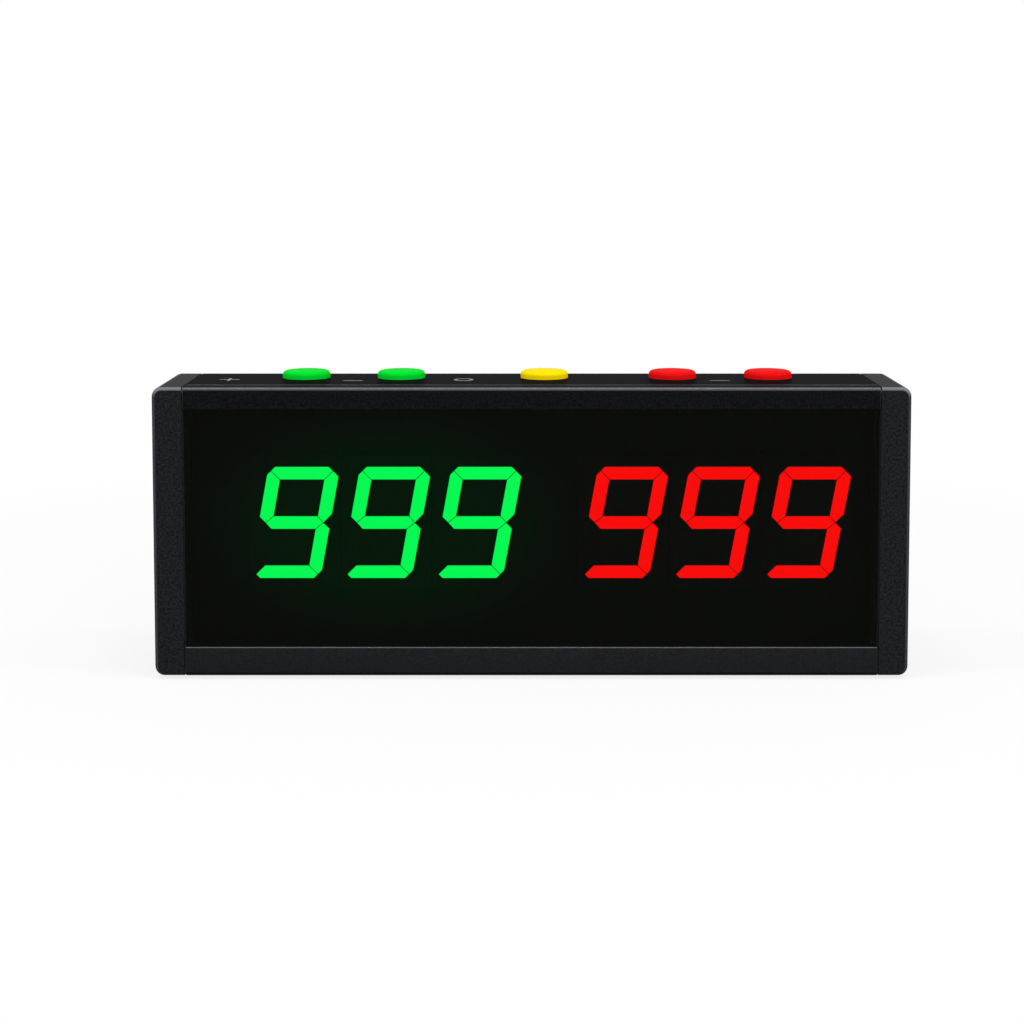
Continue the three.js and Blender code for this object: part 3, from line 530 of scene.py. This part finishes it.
def epoxy(name, colours, glow):
    """Clear epoxy clouded with a white filler, with a faintly uneven face. Lit from below it glows
    evenly. The window takes away about two thirds of the light, which the strength makes up for."""
    values = {"IOR": 1.52, "Specular IOR Level": 0.04}
    if glow:
        values.update({"Emission Color": linear(glow), "Emission Strength": glow_strength})
    return grained(
        name,
        colours,
        roughness=(0.44, 0.56),
        grain=epoxy_grain,
        relief=epoxy_relief,
        values=values,
    )


dark_epoxy = epoxy("unlit_smoked_epoxy", ("#060706", "#070807"), None)
for colour, lit_epoxy in (
    ("green", epoxy("lit_green_epoxy", ("#04200a", "#05260c"), "#00ff54")),
    ("red", epoxy("lit_red_epoxy", ("#200404", "#260505"), "#ff0000")),
):
    for count in (1, 2, 3):
        digit = f"{colour}_digit_{count}"
        paint(digit + "_housing", housing_plastic)
        low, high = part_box(digit + "_housing")
        centre, face = (low + high) / 2, low.y
        height = high.z - low.z - 2 * figure_end_rim
        lean_width = lean_share * (height - 2 * bar_thickness)
        width = high.x - low.x - lean_width - 2 * figure_side_rim
        lit, dark = seven_segments(height, width)
        lit_bars = joined(digit + "_lit_bars", [epoxy_bar(bar, centre, face) for bar in lit], lit_epoxy)
        dark_bar = joined(digit + "_dark_bar", [epoxy_bar(dark, centre, face)], dark_epoxy)
        for piece in (lit_bars, dark_bar):
            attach(piece, "case")
            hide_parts(digit + "_segments")


# Front window. A sheet of smoked acrylic with a coat that cuts reflections, slid into the rails'
# front groove before the end caps go on. It hides the inside of the case and lets lit bars through.
window_see_through = 0.6  # for each of the sheet's two faces
unevenness_size = 30 * mm
cast_middle = (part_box("green_digit_1_housing")[0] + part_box("green_digit_3_housing")[1]) / 2
cast_reach = (66 * mm, 1, 40 * mm)  # sideways, through the sheet, where it doesn't end, and upwards
cast_from, cast_to = 1.15, 0.5  # shares of that reach, where the cast starts and where it is full
painted_reflection_tones = ("#0d0f0c", "#10120f")
cast_tone = "#071e0c"

# Smoked acrylic is almost black, and this coat leaves it no gloss. The sheet has a very faint glow of
# painted light. A pale veil, a little uneven at random, is a painted reflection of the room. A green glow
# round the green digits is their light, painted as if scattered in the smoke.
window_acrylic, tree, shader, place = new_material(
    "smoked_coated_acrylic",
    {
        "Base Color": linear("#020202"),
        "IOR": 1.49,
        "Specular IOR Level": 0,
        "Alpha": 1 - window_see_through,
        "Emission Strength": 1.0,
    },
)
reflection_unevenness = add(tree, "ShaderNodeTexNoise", {"Vector": place, "Scale": 1 / unevenness_size}).outputs[0]
tones = {mix_share: reflection_unevenness, mix_first: linear(painted_reflection_tones[0]), mix_second: linear(painted_reflection_tones[1])}
painted_reflection = add(tree, "ShaderNodeMix", tones, data_type="RGBA").outputs[mix_result]
centred = {"Vector": place, "Location": cast_middle, "Scale": cast_reach}
from_middle = add(tree, "ShaderNodeMapping", centred, vector_type="TEXTURE").outputs[0]
away = add(tree, "ShaderNodeVectorMath", {0: from_middle}, operation="LENGTH").outputs["Value"]
cast_inputs = {"Value": away, "From Min": cast_from, "From Max": cast_to}
cast = add(tree, "ShaderNodeMapRange", cast_inputs, interpolation_type="SMOOTHSTEP").outputs[0]
tones = {mix_share: cast, mix_first: painted_reflection, mix_second: linear(cast_tone)}
painted_glow = add(tree, "ShaderNodeMix", tones, data_type="RGBA").outputs[mix_result]
tree.links.new(painted_glow, shader.inputs["Emission Color"])
paint("front_window", window_acrylic)


# Rear panel. A sheet of black polystyrene, sawn and slid into the rails' rear groove, with a round
# hole for the power socket and an upright rectangular one for the switch.
panel_edge = 0.12 * mm
panel_grain = 0.9 * mm
panel_relief = 0.03 * mm

# The sheet is rolled with a fine hair-cell grain, which makes it satin.
panel_plastic = grained(
    "haircell_black_polystyrene",
    colours=("#0e0f11", "#202124"),
    roughness=(0.44, 0.56),
    grain=panel_grain,
    relief=panel_relief,
    values={"IOR": 1.52, "Specular IOR Level": 0.15},
)
worked("rear_panel", merged("rear_panel"), panel_edge, panel_plastic)


# Power socket and switch. Moulded in black nylon, the socket held by a nickel-plated nut inside the
# panel and the switch snapped into its hole. A nickel-plated pin stands in the socket, and the
# switch's paddle rests tipped to ON.
fitting_edge = 0.15 * mm
fitting_grain = 0.3 * mm
fitting_relief = 0.008 * mm
nickel_grain = 0.4 * mm
nickel_relief = 0.002 * mm
pin_radius = 1.03 * mm
pin_round = 0.5 * mm  # at its tip
pin_round_steps = 6
pin_flat_share = 0.11  # of the radius, where the tip ends
pin_length = 8.4 * mm
pin_sink = 0.97 * mm  # from the socket's face to the pin's tip
pin_turns = 32

# Nylon from a polished mould is a little glossy.
fitting_nylon = grained(
    "black_nylon",
    colours=("#101113", "#141517"),
    roughness=(0.34, 0.46),
    grain=fitting_grain,
    relief=fitting_relief,
    values={"IOR": 1.52, "Specular IOR Level": 0.3},
)
for node, slot in (
    ("power_socket", "switch_plastic"),
    ("power_switch_body", "switch_plastic"),
    ("power_rocker", "rocker"),
):
    worked(node, merged(node), fitting_edge, fitting_nylon)

# Nickel plate is bright and warm, with a fine haze from turning and handling.
nickel = grained(
    "nickel_plated_brass",
    colours=("#c5c1b9", "#cdc9c1"),
    roughness=(0.2, 0.34),
    grain=nickel_grain,
    relief=nickel_relief,
    values={"Metallic": 1.0},
)
paint("power_socket_nut", nickel)


def contact_pin(centre, tip):
    """A pin from its root to its rounded tip: each ring is (radius * cos, depth, radius * sin)."""
    bend = np.linspace(0, math.pi / 2, pin_round_steps)[:-1]
    rounded = pin_radius - pin_round * (1 - np.cos(bend))
    radius = np.concatenate([[pin_radius], rounded, [pin_radius * pin_flat_share]])
    along = np.concatenate([[tip - pin_length], tip - pin_round * (1 - np.sin(bend)), [tip]])
    angle = np.linspace(0, 2 * math.pi, pin_turns, endpoint=False)
    grid = np.empty((len(radius), pin_turns, 3))
    grid[..., 0] = centre.x + radius[:, None] * np.cos(angle)
    grid[..., 1] = along[:, None]
    grid[..., 2] = centre.z + radius[:, None] * np.sin(angle)
    return surface("pin", grid)


low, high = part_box("power_socket")
pin = joined("power_socket_pin", [contact_pin((low + high) / 2, high.y - pin_sink)], nickel)
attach(pin, "case")


# Wiring. Stranded leads in soft PVC run from the socket over the switch to the display board, and a
# grey ribbon cable joins the two boards. Its cores lie side by side and show as ribs.
lead_grain = 0.5 * mm
lead_relief = 0.01 * mm
core_pitch = 1.27 * mm
core_relief = 0.2 * mm


def lead_pvc(name, colours):
    """Soft PVC drawn over the strands, a little uneven and a little glossy."""
    return grained(
        name,
        colours,
        roughness=(0.39, 0.51),
        grain=lead_grain,
        relief=lead_relief,
        values={"IOR": 1.52},
    )


red_pvc = lead_pvc("red_pvc", ("#a01a1a", "#ae1e1e"))
black_pvc = lead_pvc("black_pvc", ("#131313", "#171717"))
paint("socket_to_switch_lead", red_pvc)
paint("switch_to_board_lead", red_pvc)
paint("socket_to_board_lead", black_pvc)

# The ribbon is one strip of matt PVC. Its ribs follow a sine wave, which Blender repeats every pi / 10 at
# scale 1, and the valleys between them are painted darker, as shade.
ribbon_pvc, tree, shader, place = new_material("grey_ribbon_pvc", {"Roughness": 0.5})
wave = {"Vector": place, "Scale": math.pi / 10 / core_pitch}
ribs = add(tree, "ShaderNodeTexWave", wave, bands_direction="X", wave_profile="SIN").outputs[1]
tones = {mix_share: ribs, mix_first: linear("#7c7e83"), mix_second: linear("#94969b")}
ribs_with_painted_shade = add(tree, "ShaderNodeMix", tones, data_type="RGBA").outputs[mix_result]
rib_relief = add(tree, "ShaderNodeBump", {"Height": ribs, "Distance": core_relief}).outputs[0]
tree.links.new(ribs_with_painted_shade, shader.inputs["Base Color"])
tree.links.new(rib_relief, shader.inputs["Normal"])
paint("ribbon_cable", ribbon_pvc)


# Buttons. Caps moulded in coloured ABS stand 3 mm out of round holes in the top rail. Their tops are
# slightly crowned and their rims well rounded, two ears under the rail keep them in, and a stem
# inside rests on the plunger of a push switch.
button_rim = 1.5 * mm
button_crown = 0.35 * mm
button_turns = 96
rim_steps = 10
crown_steps = 8
crown_flat_share = 0.04  # of the radius, where the crown's last ring lies
button_wall = 1.5 * mm
button_roof = 1.8 * mm
button_stem = 6 * mm
button_skirt = 8.5 * mm  # the whole cap's height
stem_play = 0.3 * mm  # between the stem and the plunger
ear_width = 6 * mm
ear_thickness = 1.5 * mm
ear_drop = 5.5 * mm  # from the cap's top to the ears, past what stands out and the rail's plate
ear_round = 0.14 * mm
button_grain = 1.2 * mm
button_relief = 0.004 * mm


def turned(profile, centre):
    """A profile of radius and height, turned round an upright line through centre: each ring is
    (radius * cos, radius * sin, height)."""
    angle = np.linspace(0, 2 * math.pi, button_turns, endpoint=False)
    grid = np.empty((len(profile), button_turns, 3))
    grid[..., 0] = centre.x + profile[:, :1] * np.cos(angle)
    grid[..., 1] = centre.y + profile[:, :1] * np.sin(angle)
    grid[..., 2] = profile[:, 1:]
    return surface("shell", grid)


def button_profile(radius, top, stem_foot):
    """From the foot of the stem up inside, down the skirt's inner wall, up its outer wall, round the
    rim on an arc, and over the crown, which falls off with the square of the radius. The arc ends at
    the crown's own slope there, so that the two meet without a break."""
    skirt, roof, inner = top - button_skirt, top - button_roof, radius - button_wall
    arc_middle = radius - button_rim
    slope = math.atan(2 * button_crown / arc_middle)
    angle = np.linspace(0, math.pi / 2 - slope, rim_steps)
    arc_low = top - button_crown - button_rim * math.cos(slope)
    rim = np.stack([arc_middle + button_rim * np.cos(angle), arc_low + button_rim * np.sin(angle)], axis=1)
    over = np.linspace(1, crown_flat_share, crown_steps)[1:]
    crown_line = np.stack([rim[-1, 0] * over, top - button_crown * over**2], axis=1)
    half_stem = button_stem / 2
    inside = [[half_stem, stem_foot], [half_stem, roof], [inner, roof], [inner, skirt], [radius, skirt]]
    return np.concatenate([inside, rim, crown_line])


def ear(side, middle, root, reach, top):
    """A flat lug: its rectangle in Y and Z, carried outwards from inside the wall to its tip, where
    the last ring is drawn in as a small rounding."""
    across = np.array([-1, 1, 1, -1]) * ear_width / 2
    height = np.array([0, 0, -1, -1]) * ear_thickness
    out = np.array([root, reach - ear_round, reach])
    drawn_in = np.array([0, 0, ear_round])
    grid = np.empty((3, 4, 3))
    grid[..., 0] = middle.x + side * out[:, None]
    grid[..., 1] = middle.y + across - np.sign(across) * drawn_in[:, None]
    grid[..., 2] = top - ear_drop + height + np.array([-1, -1, 1, 1]) * drawn_in[:, None]
    return surface("ear", grid)


def button_abs(name, colours):
    """ABS in a bright, full colour from a vapour-blasted mould: satin, with next to no white gloss."""
    return grained(
        name,
        colours,
        roughness=(0.5, 0.62),
        grain=button_grain,
        relief=button_relief,
        values={"IOR": 1.52, "Specular IOR Level": 0.006},
    )


green_abs = button_abs("green_abs", ("#00cc2a", "#00d330"))
yellow_abs = button_abs("yellow_abs", ("#eecf04", "#f4d60a"))
red_abs = button_abs("red_abs", ("#da0f0f", "#e21414"))
button_finishes = {
    "green_outer": (green_abs, "green_button"),
    "green_inner": (green_abs, "green_button"),
    "yellow": (yellow_abs, "yellow_button"),
    "red_inner": (red_abs, "red_button"),
    "red_outer": (red_abs, "red_button"),
}
for name, (finish, slot) in button_finishes.items():
    node = name + "_button"
    low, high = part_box(node)
    middle = (low + high) / 2
    radius, reach = (high.y - low.y) / 2, (high.x - low.x) / 2
    stem_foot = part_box(name + "_plunger")[1].z + stem_play
    shell = turned(button_profile(radius, high.z, stem_foot), middle)
    ears = [ear(side, middle, radius - button_wall / 2, reach, high.z) for side in (-1, 1)]
    cap = joined(node + "_cap", [shell, *ears], finish)
    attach(cap, frame["nodes"][node]["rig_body"])
    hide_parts(node)


# Marks. Small signs in pale ink, pad printed on the rail's top beside the buttons: plus and minus
# to count, and a ring to start again. The film of ink is drawn as thick as it must be to show.
ink_film = 0.03 * mm
ink_grain = 0.5 * mm
ink_relief = 0.005 * mm
stroke = 1.1 * mm
sign_size = 7.5 * mm
ring_turns = 64
green_plus_place = (-114.8 * mm, 1.4 * mm)
green_minus_place = (-67.6 * mm, -2 * mm)
reset_ring_place = (-25.7 * mm, 0.8 * mm)
red_minus_place = (71.3 * mm, -1.9 * mm)


def printed(outline, place):
    """A flat sign: its outline in X and Y at a place, carried up by the thickness of the film."""
    grid = np.empty((2, len(outline), 3))
    grid[..., :2] = outline + np.array(place)
    grid[..., 2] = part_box("top_rail")[1].z + np.array([[0], [ink_film]])
    return surface("sign", grid)


def printed_ring(place):
    """A ring: the four corners of the film's section, turned round the place and closed on itself."""
    angle = np.linspace(0, 2 * math.pi, ring_turns, endpoint=False)
    outer, inner = sign_size / 2, sign_size / 2 - stroke
    section = np.array([[outer, 0], [outer, ink_film], [inner, ink_film], [inner, 0], [outer, 0]])
    grid = np.empty((len(section), ring_turns, 3))
    grid[..., 0] = place[0] + section[:, :1] * np.cos(angle)
    grid[..., 1] = place[1] + section[:, :1] * np.sin(angle)
    grid[..., 2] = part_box("top_rail")[1].z + section[:, 1:]
    return surface("ring", grid, ends=False)


# Pad printing ink is a thin, matt film, and covers the black unevenly.
pale_ink = grained(
    "pale_grey_ink",
    colours=("#636568", "#8b8d90"),
    roughness=(0.54, 0.66),
    grain=ink_grain,
    relief=ink_relief,
    values={"IOR": 1.52, "Specular IOR Level": 0.1},
)
long, short = sign_size / 2, stroke / 2
minus = np.array([[-long, -short], [long, -short], [long, short], [-long, short]])
arm = np.array([[long, -short], [long, short], [short, short]])
quarter_turn = np.array([[0, 1], [-1, 0]])
plus = np.concatenate([arm @ np.linalg.matrix_power(quarter_turn, turns) for turns in range(4)])
for name, sign in (
    ("green_plus_mark", printed(plus, green_plus_place)),
    ("green_minus_mark", printed(minus, green_minus_place)),
    ("reset_ring_mark", printed_ring(reset_ring_place)),
    ("red_minus_mark", printed(minus, red_minus_place)),
):
    mark = joined(name, [sign], pale_ink)
    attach(mark, "case")


# Signs on the rocker. A bar for ON and a ring for OFF, hot stamped in white on the two flats of the
# paddle. The paddle rests tipped about its axis, so they are laid out level and tipped with it.
paddle_tip = math.radians(7)
flat_start = (0.556 * mm, 2.367 * mm)  # out from the axis and along from it, where a flat starts
flat_end = (1.0 * mm, 7.1 * mm)  # and where it ends
rocker_sign_middle = 4.7 * mm
rocker_sign_size = 3 * mm
rocker_stroke = 0.65 * mm
foil_film = 0.03 * mm
foil_grain = 0.5 * mm
foil_relief = 0.004 * mm
pivot = next(joint["pos_m"] for joint in frame["joints"] if joint["name"] == "power_rocker_tilt")


def stamped(across, along, outside, up):
    """A sign's film on the paddle, above its axis if `up` is 1 and below it if it is -1: rings of
    points, across and along the flat, and 1 or 0 for the film's outside or inside. The flat's own
    line and the film give how far out a point lies, and then it turns about the pivot by the tip."""
    rise = (flat_end[0] - flat_start[0]) / (flat_end[1] - flat_start[1])
    out = flat_start[0] + rise * (along - flat_start[1]) + foil_film * outside
    grid = np.empty((*across.shape, 3))
    grid[..., 0] = pivot[0] + across
    grid[..., 1] = pivot[1] + out * math.cos(paddle_tip) - up * along * math.sin(paddle_tip)
    grid[..., 2] = pivot[2] + out * math.sin(paddle_tip) + up * along * math.cos(paddle_tip)
    return grid


# Hot foil is an even, slightly glossy film of white.
white_foil = grained(
    "white_stamping_foil",
    colours=("#d6d6d2", "#e4e4e0"),
    roughness=(0.39, 0.51),
    grain=foil_grain,
    relief=foil_relief,
    values={"IOR": 1.52, "Specular IOR Level": 0.2},
)
bar_across = np.tile(np.array([-1, 1, 1, -1]) * rocker_stroke / 2, (2, 1))
bar_along = np.tile(rocker_sign_middle + np.array([-1, -1, 1, 1]) * rocker_sign_size / 2, (2, 1))
bar_outside = np.array([[0], [1]])
bar = surface("bar", stamped(bar_across, bar_along, bar_outside, 1))

turn = np.linspace(0, 2 * math.pi, ring_turns, endpoint=False)
outer, inner = rocker_sign_size / 2, rocker_sign_size / 2 - rocker_stroke
ring_radius = np.array([outer, outer, inner, inner, outer])[:, None]
ring_across = ring_radius * np.cos(turn)
ring_along = rocker_sign_middle + ring_radius * np.sin(turn)
ring_outside = np.array([0, 1, 1, 0, 0])[:, None]
ring = surface("ring", stamped(ring_across, ring_along, ring_outside, -1), ends=False)
for name, sign in (("rocker_on_sign", bar), ("rocker_off_sign", ring)):
    stamp = joined(name, [sign], white_foil)
    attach(stamp, "power_rocker")


# Plungers and push switches. White acetal plungers in black nylon bodies, soldered to the button
# board under each cap.
plunger_grain = 0.6 * mm
plunger_relief = 0.004 * mm

# Acetal is a milky white, with a waxy gloss.
plunger_acetal = grained(
    "white_acetal",
    colours=("#d8d8d2", "#e0e0da"),
    roughness=(0.32, 0.44),
    grain=plunger_grain,
    relief=plunger_relief,
    values={"IOR": 1.48},
)
for node in frame["nodes"]:
    if node.endswith("_plunger"):
        paint(node, plunger_acetal)
    if node.endswith("_switch"):
        paint(node, fitting_nylon)


# Studio. A pale floor and a white surround, and four soft lamps: one above, one in front and one at
# each side.
floor_reach = 4.0  # metres from the object's middle to the floor's sides
white_from = 0.2  # metres from there, where the floor starts to fade to plain white
white_to = 0.5  # and where it is plain white
shadow_share = 0.8  # how white the floor is nearer than that, so that it keeps the shadow
surround_strength = 0.45  # of the white surround as it lights the object
lamps_aim = (0, 0, 0.06)  # about half way up the object


def seen_as_background(tree):
    """1 for a ray that comes straight from the camera, or by way of gloss or glass, and else 0."""
    path = add(tree, "ShaderNodeLightPath", {}).outputs
    seen = {0: path["Is Camera Ray"], 1: path["Is Glossy Ray"]}
    either = add(tree, "ShaderNodeMath", seen, operation="MAXIMUM").outputs[0]
    through = {0: either, 1: path["Is Transmission Ray"]}
    return add(tree, "ShaderNodeMath", through, operation="MAXIMUM").outputs[0]


paper_floor = bpy.data.materials.new("white_paper_floor")
paper_floor.use_nodes = True
tree = paper_floor.node_tree
tree.nodes.clear()
paper = add(tree, "ShaderNodeBsdfDiffuse", {"Color": linear("#e8e8e8")}).outputs[0]
glow = add(tree, "ShaderNodeEmission", {"Color": linear("#ffffff"), "Strength": 1.0}).outputs[0]
floor_place = add(tree, "ShaderNodeTexCoord", {}).outputs["Object"]
away = add(tree, "ShaderNodeVectorMath", {0: floor_place}, operation="LENGTH").outputs["Value"]
fade_inputs = {"Value": away, "From Min": white_from, "From Max": white_to, "To Min": shadow_share}
fade = add(tree, "ShaderNodeMapRange", fade_inputs).outputs[0]
glow_inputs = {0: seen_as_background(tree), 1: fade}
glow_share = add(tree, "ShaderNodeMath", glow_inputs, operation="MULTIPLY").outputs[0]
floor_light = add(tree, "ShaderNodeMixShader", {0: glow_share, 1: paper, 2: glow}).outputs[0]
add(tree, "ShaderNodeOutputMaterial", {"Surface": floor_light})

floor_mesh = bpy.data.meshes.new("floor")
corners = floor_reach * np.array([[-1, -1, 0], [1, -1, 0], [1, 1, 0], [-1, 1, 0]])
floor_mesh.from_pydata(corners.tolist(), [], [[0, 1, 2, 3]])
floor_mesh.materials.append(paper_floor)
floor = bpy.data.objects.new("floor", floor_mesh)
bpy.context.scene.collection.objects.link(floor)

world = bpy.data.worlds.new("studio")
bpy.context.scene.world = world
world.use_nodes = True
tree = world.node_tree
tree.nodes.clear()
surround = {"Color": linear("#ffffff"), "Strength": surround_strength}
soft = add(tree, "ShaderNodeBackground", surround).outputs[0]
backdrop = {"Color": linear("#ffffff"), "Strength": 1.0}
white = add(tree, "ShaderNodeBackground", backdrop).outputs[0]
world_light = add(tree, "ShaderNodeMixShader", {0: seen_as_background(tree), 1: soft, 2: white})
add(tree, "ShaderNodeOutputWorld", {"Surface": world_light.outputs[0]})


def soft_lamp(name, place, width, height, watts):
    """A softbox at a place, facing the object."""
    light = bpy.data.lights.new(name, "AREA")
    light.shape = "RECTANGLE"
    light.size = width
    light.size_y = height
    light.energy = watts
    lamp = bpy.data.objects.new(name, light)
    bpy.context.scene.collection.objects.link(lamp)
    lamp.location = place
    towards = Vector(lamps_aim) - Vector(place)
    lamp.rotation_euler = towards.to_track_quat("-Z", "Y").to_euler()


soft_lamp("overhead_strip", place=(0, -0.22, 1.1), width=1.3, height=0.12, watts=7.6)
soft_lamp("front_softbox", place=(0.25, -1.4, 0.55), width=1.2, height=0.8, watts=7)
soft_lamp("left_strip", place=(-0.95, -0.3, 0.35), width=0.15, height=0.7, watts=2.6)
soft_lamp("right_strip", place=(0.95, -0.3, 0.35), width=0.15, height=0.7, watts=2.6)


# Camera. It stands in front and a little above, and looks down only slightly, because the photograph
# keeps upright lines upright. A shift of the picture brings the object into its frame.
camera_place = (-2.9 * mm, -700 * mm, 193.64 * mm)
camera_pitch = math.radians(4)
lens_length, sensor_width = 65.2, 36  # millimetres
shift_sideways, shift_upwards = -0.0114, -0.22  # shares of the picture's width

camera_data = bpy.data.cameras.new("camera")
camera_data.lens = lens_length
camera_data.sensor_width = sensor_width
camera_data.shift_x = shift_sideways
camera_data.shift_y = shift_upwards
camera = bpy.data.objects.new("camera", camera_data)
bpy.context.scene.collection.objects.link(camera)
camera.location = camera_place
camera.rotation_euler = (math.pi / 2 - camera_pitch, 0, 0)
bpy.context.scene.camera = camera
bpy.context.scene.view_settings.view_transform = "Standard"
